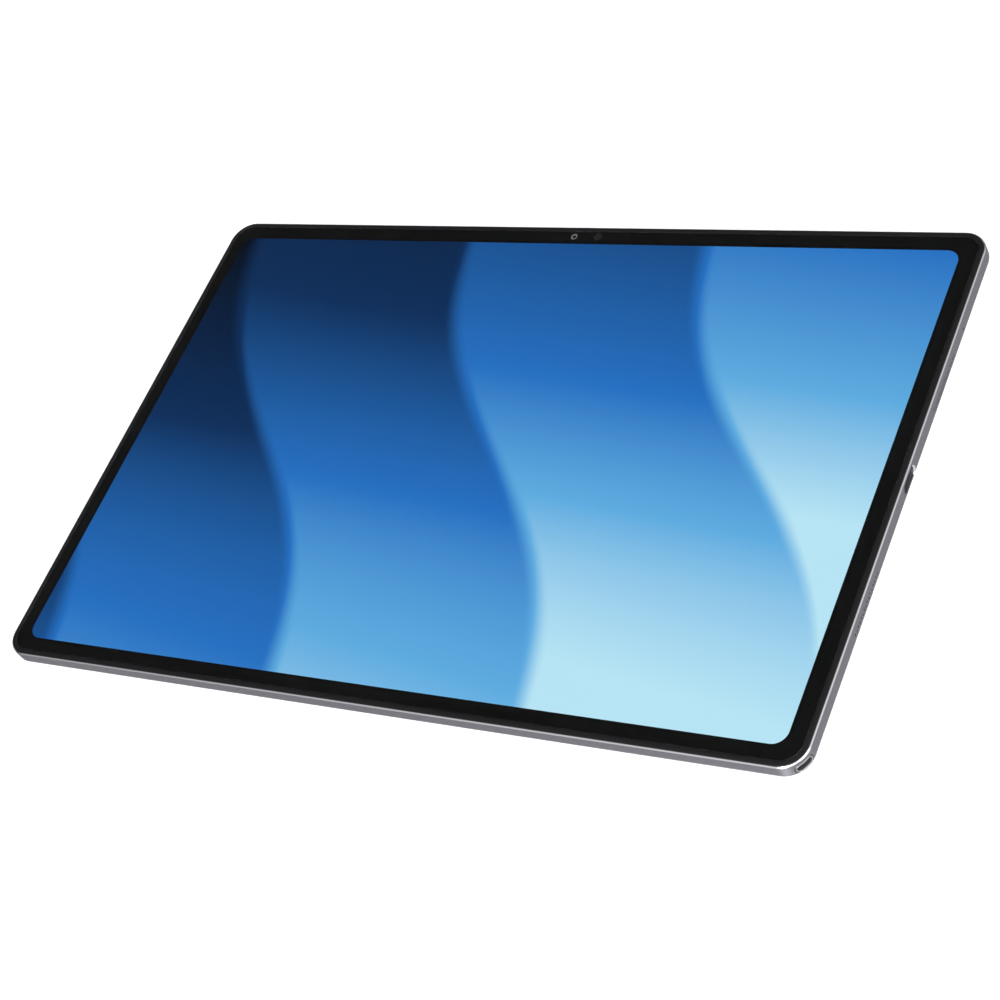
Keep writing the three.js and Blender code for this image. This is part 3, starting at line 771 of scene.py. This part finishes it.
edit(housing)
pick_faces(housing, lambda middle, normal: normal.z > 0.9)
bpy.ops.mesh.inset(thickness=RIM_WALL - RIM_CHAMFER)
bpy.ops.mesh.extrude_region_move(TRANSFORM_OT_translate={"value": (0, 0, LEDGE_TOP - RIM_TOP)})
bpy.ops.mesh.inset(thickness=SIDE_WALL - RIM_WALL)
bpy.ops.mesh.extrude_region_move(TRANSFORM_OT_translate={"value": (0, 0, BACK_WALL - LEDGE_TOP)})
bpy.ops.object.mode_set(mode="OBJECT")
print("housing blank", len(housing.data.polygons), "faces")

# %% [markdown]
# ## Openings in the sides
# Each speaker speaks through sixteen drilled holes in two staggered rows, with a pocket behind them
# for the cloth. The socket's mouth is a long slot with a cut bevel. The same drills serve both short
# sides, turned to face out.

# %% Drills for the speakers and the microphone
SPEAKER_Y = 42.0
GRILLE_HOLES = 16
GRILLE_PITCH = 1.49
GRILLE_STAGGER = 0.22
GRILLE_RADIUS = 0.37
GRILLE_WALL = 1.3


def grille_drill(out, side):
    drills = []
    for hole in range(GRILLE_HOLES):
        step = (hole - (GRILLE_HOLES - 1) / 2) * GRILLE_PITCH
        height = -GRILLE_STAGGER if hole % 2 else GRILLE_STAGGER
        drills.append(add_rod("drill", (step, height), GRILLE_RADIUS, -GRILLE_WALL - 0.5, 1, 20))
    row = group(drills)
    return face_out(row, out, (out[0] * HALF_LENGTH, side * SPEAKER_Y, PORT_HEIGHT))


def grille_pocket(out, side):
    pocket = add_slab("pocket", 12.6, 1.15, -SIDE_WALL - 0.5, -GRILLE_WALL, 0.4, segments=4)
    return face_out(pocket, out, (out[0] * HALF_LENGTH, side * SPEAKER_Y, PORT_HEIGHT))


for out in ((1, 0), (-1, 0)):
    for side in (1, -1):
        cut(housing, grille_pocket(out, side), grille_drill(out, side))

MICROPHONE_Y = 64.0
microphone_drill = add_rod("drill", (0, 0), 0.42, -SIDE_WALL - 0.5, 1, 24)
cut(housing, face_out(microphone_drill, (1, 0), (HALF_LENGTH, MICROPHONE_Y, PORT_HEIGHT)))
print("drilled housing", len(housing.data.polygons), "faces")

# %% [markdown]
# ## Mouths and slots
# The socket, the two keys and the card tray each pass through a slot with full round ends, a little
# larger than the piece in it. The camera and the flash look out through two round windows.

# %% Socket mouth, key slots, card slot and rear windows
SOCKET_Y = 4.0
SOCKET_BEVEL = 0.5
MOUTH_HALF_LENGTH = 4.75
MOUTH_HALF_HEIGHT = 1.675
KEY_GAP = 0.14
KEY_ANGLE = math.radians(-32.5)
KEY_HALF_LENGTH = 3.4
KEY_HALF_HEIGHT = 1.7
VOLUME_X = -105.0
VOLUME_HALF_LENGTH = 12.0
VOLUME_HALF_HEIGHT = 1.3
CARD_Y = -78.0
CARD_HALF_WIDTH = 6.55
CARD_HALF_HEIGHT = 0.7
CORNER_OUT = (math.cos(KEY_ANGLE), math.sin(KEY_ANGLE))
CORNER_AXIS = (HALF_LENGTH - CORNER_RADIUS, CORNER_RADIUS - HALF_WIDTH, PORT_HEIGHT)


def add_pill(name, half_length, half_height, low, high, segments=16, **rims):
    """A slab whose short ends are full half circles."""
    return add_slab(name, half_length, half_height, low, high, half_height, segments=segments, **rims)


def flare(pill, height, grow_x, grow_y):
    """Widens the top rim of a pill, as a countersink does."""
    edit(pill)
    pick_edges(pill, lambda a, b: a.z > height and b.z > height)
    bpy.ops.transform.resize(value=(grow_x, grow_y, 1), center_override=(0, 0, 0))
    bpy.ops.object.mode_set(mode="OBJECT")


mouth = add_pill("mouth", MOUTH_HALF_LENGTH, MOUTH_HALF_HEIGHT, -SIDE_WALL - 0.5, 0.5)
mouth_place = (HALF_LENGTH, SOCKET_Y, PORT_HEIGHT)
mouth_bevel = add_pill("mouth_bevel", MOUTH_HALF_LENGTH, MOUTH_HALF_HEIGHT, -SOCKET_BEVEL, 0)
mouth_grow = (1 + SOCKET_BEVEL / MOUTH_HALF_LENGTH, 1 + SOCKET_BEVEL / MOUTH_HALF_HEIGHT)
flare(mouth_bevel, -0.1, *mouth_grow)
edit(mouth_bevel)
pick_faces(mouth_bevel, lambda middle, normal: normal.z > 0.9)
bpy.ops.mesh.extrude_region_move(TRANSFORM_OT_translate={"value": (0, 0, 0.5)})
bpy.ops.object.mode_set(mode="OBJECT")
key_slot = add_pill(
    "key_slot", KEY_HALF_LENGTH + KEY_GAP, KEY_HALF_HEIGHT + KEY_GAP, 3.9, CORNER_RADIUS + 1
)
volume_slot = add_pill("slot", VOLUME_HALF_LENGTH + KEY_GAP, VOLUME_HALF_HEIGHT + KEY_GAP, -3, 1)
card_slot = add_pill("slot", CARD_HALF_WIDTH + KEY_GAP, CARD_HALF_HEIGHT + KEY_GAP, -3, 1)
cut(
    housing,
    face_out(mouth, (1, 0), mouth_place),
    face_out(mouth_bevel, (1, 0), mouth_place),
    face_out(key_slot, CORNER_OUT, CORNER_AXIS),
    face_out(volume_slot, (0, 1), (VOLUME_X, HALF_WIDTH, PORT_HEIGHT)),
    face_out(card_slot, (-1, 0), (-HALF_LENGTH, CARD_Y, PORT_HEIGHT)),
)

REAR_CAMERA = (139.0, 84.0)
REAR_FLASH = (126.0, 84.0)
camera_drill = add_rod("drill", REAR_CAMERA, 5.2, -1, 1.4, 96)
flash_drill = add_rod("drill", REAR_FLASH, 2.1, -1, 1.4, 64)
cut(housing, camera_drill, flash_drill)
print("cut housing", len(housing.data.polygons), "faces")

# %% [markdown]
# ## Bosses and ribs
# Inside, short posts take the screws of the boards, and two low ribs stand beside the battery.

# %% Bosses and ribs
BOARD_SCREWS = [(-104, 52), (-104, 86), (20, 50), (106, 86)]
SOCKET_SCREWS = [(150, -10), (150, 17)]
for place in BOARD_SCREWS + SOCKET_SCREWS:
    boss = add_rod("boss", place, 1.9, BACK_WALL - 0.2, 1.5, 32)
    unite(housing, boss)
    cut(housing, add_rod("bore", place, 0.75, 0.5, 2, 24))
for side in (-1, 1):
    rib = add_block("rib", (side * 116.5 - 0.5, -84, BACK_WALL - 0.2), (side * 116.5 + 0.5, 24, 2.4))
    unite(housing, rib)


def is_cut_edge_or_painted_highlight(middle, normal):
    """The cut chamfer round the front, and a painted highlight: the far round end of the socket's bevel,
    given the bright cut finish that the rest of the bevel lacks.
    """
    round_front = 0.5 < normal.z < 0.9 and middle.z > RIM_TOP - RIM_CHAMFER
    # Painted highlight: only the far round end of the socket's bevel is given the bright cut finish.
    past_straight = middle.y - SOCKET_Y > MOUTH_HALF_LENGTH - MOUTH_HALF_HEIGHT
    in_painted_highlight_end = past_straight and middle.y - SOCKET_Y < MOUTH_HALF_LENGTH + SOCKET_BEVEL
    on_bevel = middle.x > HALF_LENGTH - SOCKET_BEVEL and 0.3 < normal.x < 0.95
    return round_front or (in_painted_highlight_end and on_bevel)


def is_side(middle, normal):
    """The outside of the four sides, with the round edge below them."""
    out_x = abs(middle.x) > HALF_LENGTH - CORNER_RADIUS
    out_y = abs(middle.y) > HALF_WIDTH - CORNER_RADIUS
    return (out_x or out_y) and abs(normal.z) < 0.98 and middle.z < RIM_TOP - 0.2


give_finishes(housing, (bright, is_cut_edge_or_painted_highlight), (satin_side, is_side), (satin, lambda middle, normal: True))
finish_piece(housing, BODY, "housing_metal", satin, replaces=["housing"])

# %% [markdown]
# ## Frame, glass and printed border
# The plastic frame is a thin ring with a step inside it, on which the glass lies. Its outer edge is
# rounded, and a hair-thin gap parts it from the glass. The ink is a sheet a few hundredths of a
# millimetre thick, open over the screen and over the camera.

# %% Front
FRAME_WIDTH = 1.5
bezel = add_body_slab(
    "plastic_frame", FRAME_INSET, FRAME_LOW.z, FRAME_HIGH.z, top=0.22, segments=48, soft=4
)
cut(
    bezel,
    add_body_slab("step", FRAME_INSET + FRAME_WIDTH, GLASS_LOW.z, 8, segments=48),
    add_body_slab("through", FRAME_INSET + 2 * FRAME_WIDTH, 4, 8, segments=48),
)
FRONT_CAMERA = (0.0, 97.4)
LIGHT_SENSOR = (10.0, 97.4)
notch_top = HALF_WIDTH - FRAME_INSET - FRAME_WIDTH - 0.2
cut(bezel, add_block("notch", (FRONT_CAMERA[0] - 4.2, 90, 4), (LIGHT_SENSOR[0] + 3.2, notch_top, 8)))
finish_piece(bezel, BODY, "frame_plastic", frame_plastic, replaces=["bezel_frame"])

INK = 0.03
SCREEN_OFFSET = Vector((-0.45, -0.25, 0))
pane_low = GLASS_LOW.z + INK + 0.01
pane = add_body_slab(
    "cover_glass_pane", GLASS_INSET, pane_low, GLASS_HIGH.z, top=0.3, segments=48, soft=4
)
finish_piece(pane, BODY, "cover_glass", glass, replaces=["cover_glass"])

print_sheet = add_body_slab("border_print", GLASS_INSET + 0.1, GLASS_LOW.z, GLASS_LOW.z + INK)
opening = add_slab("opening", SCREEN_HALF_LENGTH, SCREEN_HALF_WIDTH, 4, 8, SCREEN_RADIUS)
opening.data.transform(Matrix.Translation(SCREEN_OFFSET))
cut(
    print_sheet,
    opening,
    add_rod("camera_hole", FRONT_CAMERA, 1.3, 4, 8, 64),
    add_rod("sensor_hole", LIGHT_SENSOR, 1.65, 4, 8, 64),
)
finish_piece(print_sheet, BODY, "black_glass", ink)

GLUE_LOW, GLUE_HIGH = box_mm("optical_adhesive")
glue_gap = 0.005
glue = add_slab(
    "adhesive_sheet", GLUE_HIGH.x, GLUE_HIGH.y, GLUE_LOW.z + glue_gap, GLUE_HIGH.z - glue_gap, 5
)
finish_piece(glue, BODY, "clear_film", adhesive, replaces=["optical_adhesive"])

# %% [markdown]
# ## Front camera and light sensor
# The camera looks out through the hole in the ink: a grey ring, a black cone and a small coated lens.
# The sensor beside it sits behind tinted plastic, and shows as a faint round spot.

# %% Front camera
camera_ring = add_rod("front_camera_ring", FRONT_CAMERA, 1.25, 5.55, GLASS_LOW.z - 0.04, 64)
cut(camera_ring, add_rod("bore", FRONT_CAMERA, 0.95, 5, 7, 64))
finish_piece(camera_ring, BODY, "black_plastic", ring_paint)

front_module = add_block(
    "front_camera_module", (-3.2, FRONT_CAMERA[1] - 1.3, 1.8), (3.2, FRONT_CAMERA[1] + 1.6, 5.3)
)
bevel_edges(front_module, lambda a, b: abs(a.z - b.z) > 0.1, 0.3, 4)
unite(front_module, add_rod("barrel", FRONT_CAMERA, 0.93, 5.2, 5.6, 64))
finish_piece(front_module, BODY, "black_glass", moulded, replaces=["front_camera"])


def add_lens(name, place, radius, height, low):
    """A shallow glass dome: the top of a sphere, flattened and closed below."""
    bpy.ops.object.select_all(action="DESELECT")
    bpy.ops.mesh.primitive_uv_sphere_add(segments=48, ring_count=24, radius=radius)
    dome = bpy.context.object
    dome.name = name
    edit(dome)
    bpy.ops.mesh.select_all(action="SELECT")
    bpy.ops.mesh.bisect(plane_co=(0, 0, 0), plane_no=(0, 0, 1), use_fill=True, clear_inner=True)
    bpy.ops.object.mode_set(mode="OBJECT")
    dome.data.transform(Matrix.Translation((*place, low)) @ Matrix.Diagonal((1, 1, height / radius, 1)))
    return dome


front_lens = add_lens("front_camera_lens", FRONT_CAMERA, 0.5, 0.18, 5.61)
finish_piece(front_lens, BODY, "black_glass", lens_coating)

SENSOR_TOP = GLASS_LOW.z - 0.02
sensor_cap = add_rod("light_sensor_cap", LIGHT_SENSOR, 1.6, 5.82, SENSOR_TOP, 48)
bevel_edges(sensor_cap, at_height(SENSOR_TOP), 0.05, 3)
finish_piece(sensor_cap, BODY, "black_glass", sensor_glass)

# %% [markdown]
# ## Charging socket
# A drawn steel shell with full round ends, and in it a black tongue with a row of gold contacts on
# both faces.

# %% Charging socket
SHELL_HALF_LENGTH = 4.4
SHELL_HALF_HEIGHT = 1.5
SHELL_WALL = 0.25
SHELL_BACK = -8.8
SHELL_FRONT = -1.0
socket_shell = add_pill(
    "socket_shell", SHELL_HALF_LENGTH, SHELL_HALF_HEIGHT, SHELL_BACK, SHELL_FRONT, top=0.08, soft=2
)
inner = add_pill(
    "inner", SHELL_HALF_LENGTH - SHELL_WALL, SHELL_HALF_HEIGHT - SHELL_WALL, SHELL_BACK + SHELL_WALL, 1
)
cut(socket_shell, inner)
face_out(socket_shell, (1, 0), mouth_place)
finish_piece(socket_shell, BODY, "sheet_steel", steel, replaces=["usb_c_shell"])

heel_low = SHELL_BACK + SHELL_WALL + 0.05
tongue = add_pill("socket_tongue", 4.05, 1.15, heel_low, heel_low + 1.3, top=0.1, soft=2)
blade = add_slab(
    "blade", 3.35, 0.35, heel_low + 1, SHELL_FRONT - 0.5, 0.12, top=0.12, segments=4, soft=3
)
unite(tongue, blade)
face_out(tongue, (1, 0), mouth_place)
finish_piece(tongue, BODY, "black_plastic", moulded, replaces=["usb_c_tongue"])

CONTACTS = 12
CONTACT_PITCH = 0.5
for name, facing in (("upper", 1), ("lower", -1)):
    pads = []
    for contact in range(CONTACTS):
        middle = (contact - (CONTACTS - 1) / 2) * CONTACT_PITCH
        low = (middle - 0.13, min(facing * 0.34, facing * 0.39), -4.6)
        high = (middle + 0.13, max(facing * 0.34, facing * 0.39), -1.8)
        pads.append(add_block("pad", low, high))
    row = face_out(group(pads), (1, 0), mouth_place)
    row.name = f"socket_contacts_{name}"
    finish_piece(row, BODY, "sheet_steel", gold)

# %% [markdown]
# ## Power key
# The key fills a slot in the rounded corner, and its face follows the corner's curve. It is modelled
# flat, as a pill with a bevelled ring and a sunken middle, sliced into strips, and then rolled round
# the axis of the corner. A dark glass window is let into it, as on keys that read a fingerprint.

# %% Power key
KEY_BACK = 6.6
KEY_FACE = CORNER_RADIUS + 0.1
KEY_RING = 0.6
KEY_SLICES = 40


def slice_across(piece, half_length, slices):
    """Cuts a piece into strips along x, so that it can be rolled smoothly."""
    edit(piece)
    for cut_number in range(1, slices):
        place = -half_length + 2 * half_length * cut_number / slices
        bpy.ops.mesh.select_all(action="SELECT")
        bpy.ops.mesh.bisect(plane_co=(place, 0, 0), plane_no=(1, 0, 0))
    bpy.ops.object.mode_set(mode="OBJECT")


def roll_round_corner(piece):
    """Rolls a flat piece, modelled with its face at the key's radius, round the corner's axis."""
    for vertex in piece.data.vertices:
        angle = vertex.co.x / KEY_FACE
        radius = vertex.co.z
        vertex.co.x = math.sin(angle) * radius
        vertex.co.z = math.cos(angle) * radius
    return face_out(piece, CORNER_OUT, CORNER_AXIS)


power_key = add_pill(
    "power_key_cap", KEY_HALF_LENGTH, KEY_HALF_HEIGHT, KEY_BACK, KEY_FACE, 20, top=0.22, soft=4
)
edit(power_key)
pick_faces(power_key, lambda middle, normal: normal.z > 0.99 and middle.z > KEY_FACE - 0.01)
bpy.ops.mesh.inset(thickness=KEY_RING - 0.22 - 0.14)
bpy.ops.mesh.inset(thickness=0.14, depth=-0.14)
bpy.ops.mesh.extrude_region_move(TRANSFORM_OT_translate={"value": (0, 0, -0.3)})
bpy.ops.object.mode_set(mode="OBJECT")
slice_across(power_key, KEY_HALF_LENGTH, KEY_SLICES)
roll_round_corner(power_key)
stem = add_block("stem", (-1.6, -1, KEY_BACK - 0.5), (1.6, 1, KEY_BACK + 0.2))
unite(power_key, face_out(stem, CORNER_OUT, CORNER_AXIS))
finish_piece(power_key, "power_key", "polished_metal", key_metal, replaces=["power_key"])

pane_length = KEY_HALF_LENGTH - KEY_RING - 0.03
pane_height = KEY_HALF_HEIGHT - KEY_RING - 0.03
window = add_pill(
    "fingerprint_window", pane_length, pane_height, KEY_FACE - 0.4, KEY_FACE - 0.1, 20, top=0.08
)
slice_across(window, pane_length, KEY_SLICES)
roll_round_corner(window)
finish_piece(window, "power_key", "black_glass", black_glass, replaces=["power_key_window"])

# %% [markdown]
# ## Volume key
# The volume key is a long rocker with a softened edge and two feet that reach the switches. It is one
# slab with two small blocks joined to its back.

# %% Volume key
volume_place = (VOLUME_X, HALF_WIDTH, PORT_HEIGHT)
volume_key = add_pill(
    "volume_rocker", VOLUME_HALF_LENGTH, VOLUME_HALF_HEIGHT, -1.8, 0.25, segments=20, top=0.3, soft=5
)
for side in (-1, 1):
    middle = side * 8
    unite(volume_key, add_block("foot", (middle - 0.8, -0.7, -2.9), (middle + 0.8, 0.7, -1.6)))
face_out(volume_key, (0, 1), volume_place)
finish_piece(volume_key, "volume_key", "housing_metal", satin, replaces=["volume_key"])

# %% [markdown]
# ## Card tray
# The tray is a thin frame with a window for the card, and its face closes the slot. Its small round
# hole takes the pin that pushes it out. It is cut from one slab, as the real one is from sheet.

# %% Card tray
CARD_DEPTH = 18.2
card_place = (-HALF_LENGTH, CARD_Y, PORT_HEIGHT)
card_tray = add_pill("card_tray_frame", CARD_HALF_WIDTH, CARD_HALF_HEIGHT, -1.2, 0, top=0.06, soft=2)
rails = add_slab("rails", 6.2, 0.5, -CARD_DEPTH, -1, 0.3, segments=4)
unite(card_tray, rails)
card_window = add_block("window", (-5.5, -1, 1.4 - CARD_DEPTH), (5.5, 1, -1.9))
cut(card_tray, card_window, add_rod("pin_hole", (4.6, 0), 0.4, -1.1, 1, 32))
face_out(card_tray, (-1, 0), card_place)
finish_piece(card_tray, "card_tray", "housing_metal", satin, replaces=["card_tray"])

# %% [markdown]
# ## Rear camera and flash
# A bright ring, flush with the back, holds a pane of black glass with a clear middle. Behind it stand
# the steps of the lens barrel and a coated lens. The flash is a pale lens with rings on its face.

# %% Rear camera
ring = add_rod("rear_camera_trim", REAR_CAMERA, 5.1, 0.02, BACK_WALL, 96)
bevel_edges(ring, at_height(0.02), 0.25, 3)
cut(ring, add_rod("bore", REAR_CAMERA, 3.9, -1, 3, 96))
finish_piece(ring, BODY, "polished_metal", bright, replaces=["rear_camera_ring"])

rear_pane = add_rod("rear_camera_pane", REAR_CAMERA, 3.8, 0.05, 0.5, 96)
bevel_edges(rear_pane, at_height(0.05), 0.1, 3)
finish_piece(rear_pane, BODY, "black_glass", glass, replaces=["rear_camera_window"])

rear_mask = add_rod("rear_camera_mask", REAR_CAMERA, 3.75, 0.51, 0.54, 96)
cut(rear_mask, add_rod("hole", REAR_CAMERA, 2.2, 0, 2, 96))
finish_piece(rear_mask, BODY, "black_glass", ink)

MODULE_LOW, MODULE_HIGH = box_mm("rear_camera")
rear_module = add_block(
    "rear_camera_module", (MODULE_LOW.x, MODULE_LOW.y, 1.2), (MODULE_HIGH.x, MODULE_HIGH.y, MODULE_HIGH.z)
)
bevel_edges(rear_module, lambda a, b: abs(a.z - b.z) > 0.1, 0.6, 6)
unite(rear_module, add_rod("barrel", REAR_CAMERA, 3.2, 0.8, 1.3, 96))
for radius, depth in ((2.1, 0.95), (1.8, 1.1), (1.5, 1.25)):
    cut(rear_module, add_rod("step", REAR_CAMERA, radius, 0.5, depth, 96))
finish_piece(rear_module, BODY, "black_plastic", moulded, replaces=["rear_camera"])

rear_lens = add_lens("rear_camera_lens", REAR_CAMERA, 1.45, 0.5, -1.24)
rear_lens.data.transform(Matrix.Diagonal((1, 1, -1, 1)))
edit(rear_lens)
bpy.ops.mesh.select_all(action="SELECT")
bpy.ops.mesh.normals_make_consistent(inside=False)
bpy.ops.object.mode_set(mode="OBJECT")
finish_piece(rear_lens, BODY, "black_glass", lens_coating)

flash = add_rod("rear_flash_lens", REAR_FLASH, 2.0, 0.05, BACK_WALL, 64)
for radius in (0.5, 0.9, 1.3, 1.7):
    groove = add_rod("groove", REAR_FLASH, radius, -1, 0.12, 64)
    cut(groove, add_rod("core", REAR_FLASH, radius - 0.15, -2, 2, 64))
    cut(flash, groove)
finish_piece(flash, BODY, "flash_lens", flash_lens, replaces=["rear_flash"])

# %% [markdown]
# ## Pieces that stay as the CAD model made them
# Boards, cells, cables, cans, screws and speakers already have their real shape. They only get their
# finishes, chosen by the material slot that the record gives each node.

# %% Finishes on the CAD nodes
SLOT_FINISHES = {
    "display": screen,
    "clear_film": clear_plastic,
    "white_film": white_film,
    "sheet_steel": steel,
    "circuit_board": board_green,
    "flat_cable": amber_film,
    "battery_foil": foil,
    "black_plastic": moulded,
    "black_glass": black_glass,
    "graphite": graphite,
    "brass_film": brass_film,
    "flash_lens": led_yellow,
    "steel_screw": screw_steel,
    "speaker_cloth": mesh_cloth,
    "housing_metal": satin,
    "polished_metal": bright,
    "frame_plastic": frame_plastic,
    "cover_glass": glass,
}
for subpart in frame["record"]["subparts"]:
    node = frame["nodes"][subpart["node"]]
    node.data.materials.clear()
    node.data.materials.append(SLOT_FINISHES[subpart["material_slot"]].material)
print("finished", len(frame["nodes"]), "CAD nodes")
